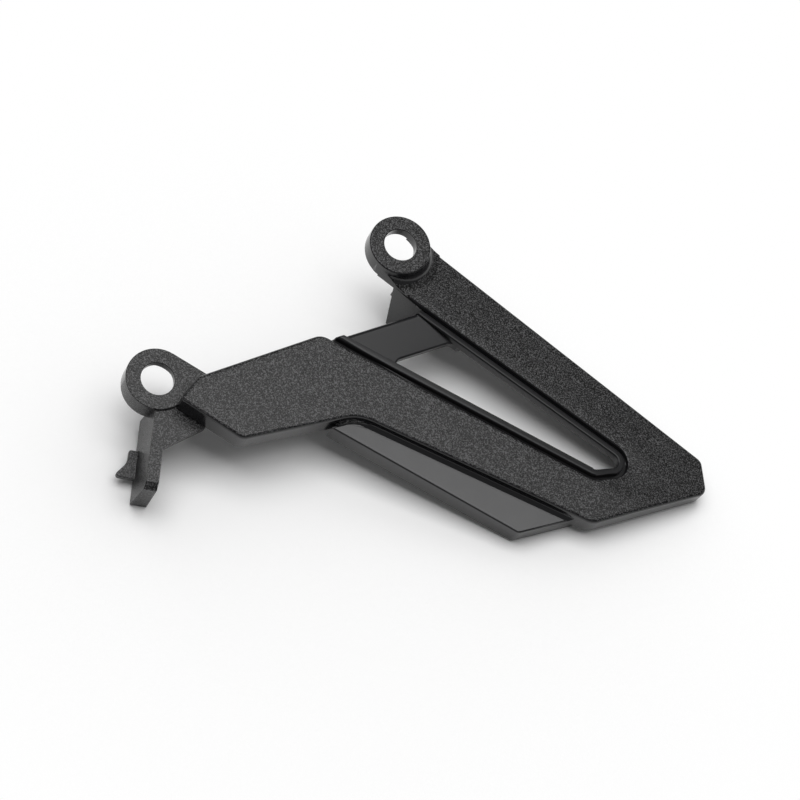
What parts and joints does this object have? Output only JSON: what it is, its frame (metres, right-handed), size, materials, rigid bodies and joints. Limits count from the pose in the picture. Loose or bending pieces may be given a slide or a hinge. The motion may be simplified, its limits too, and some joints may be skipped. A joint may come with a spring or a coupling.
{
  "type": "motorcycle sprocket guard",
  "caption": "Flat moulded sprocket guard with a slanted band, an arm around a long window, a lower side panel, bolt eyes at its corners and a hooked leg.",
  "frame": {"origin": "on the lower bolt's axis, at the back face of the lower eye's plate", "axes": "+Z outwards along both bolts, +X towards the guard's tip along its straight arm, +Y from the lower bolt to the upper one's side"},
  "size_m": [0.1319, 0.0988, 0.0225],
  "materials": {
    "black_plastic": "black moulding: fine grain on the outer faces, smooth satin on the panel, bridge and walls"
  },
  "bodies": {
    "root": {"sprocket_guard": "black_plastic"}
  },
  "joints": []
}
